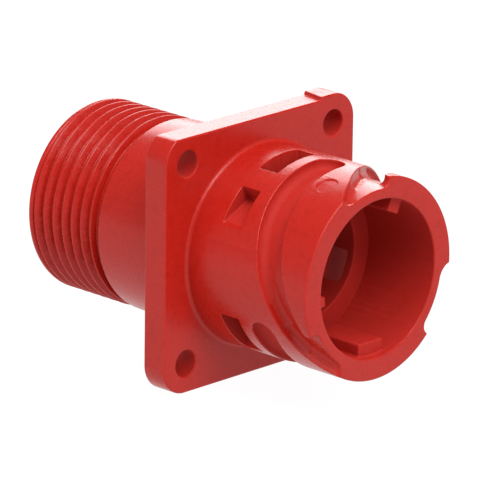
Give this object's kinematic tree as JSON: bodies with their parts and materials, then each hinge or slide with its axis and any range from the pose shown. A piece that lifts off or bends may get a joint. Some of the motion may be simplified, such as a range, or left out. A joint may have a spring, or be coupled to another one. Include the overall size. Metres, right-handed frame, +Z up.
{
  "type": "circular connector receptacle shell",
  "caption": "Plastic shell of a circular bayonet connector receptacle: square mounting flange, front shell with curved bayonet tracks, keyed mating cavity and threaded rear barrel.",
  "frame": {"origin": "on the connector's axis, in the plane of the flange's front face", "axes": "-Y is the mating direction, out of the front shell; +Y is along the threaded rear barrel; +Z is up, towards the flange edge with the marking recess; +X completes the set"},
  "size_m": [0.032, 0.0471, 0.032],
  "materials": {
    "red_plastic": "semi-matte moulded red thermoplastic"
  },
  "bodies": {
    "root": {"receptacle_shell": "red_plastic"}
  },
  "joints": []
}
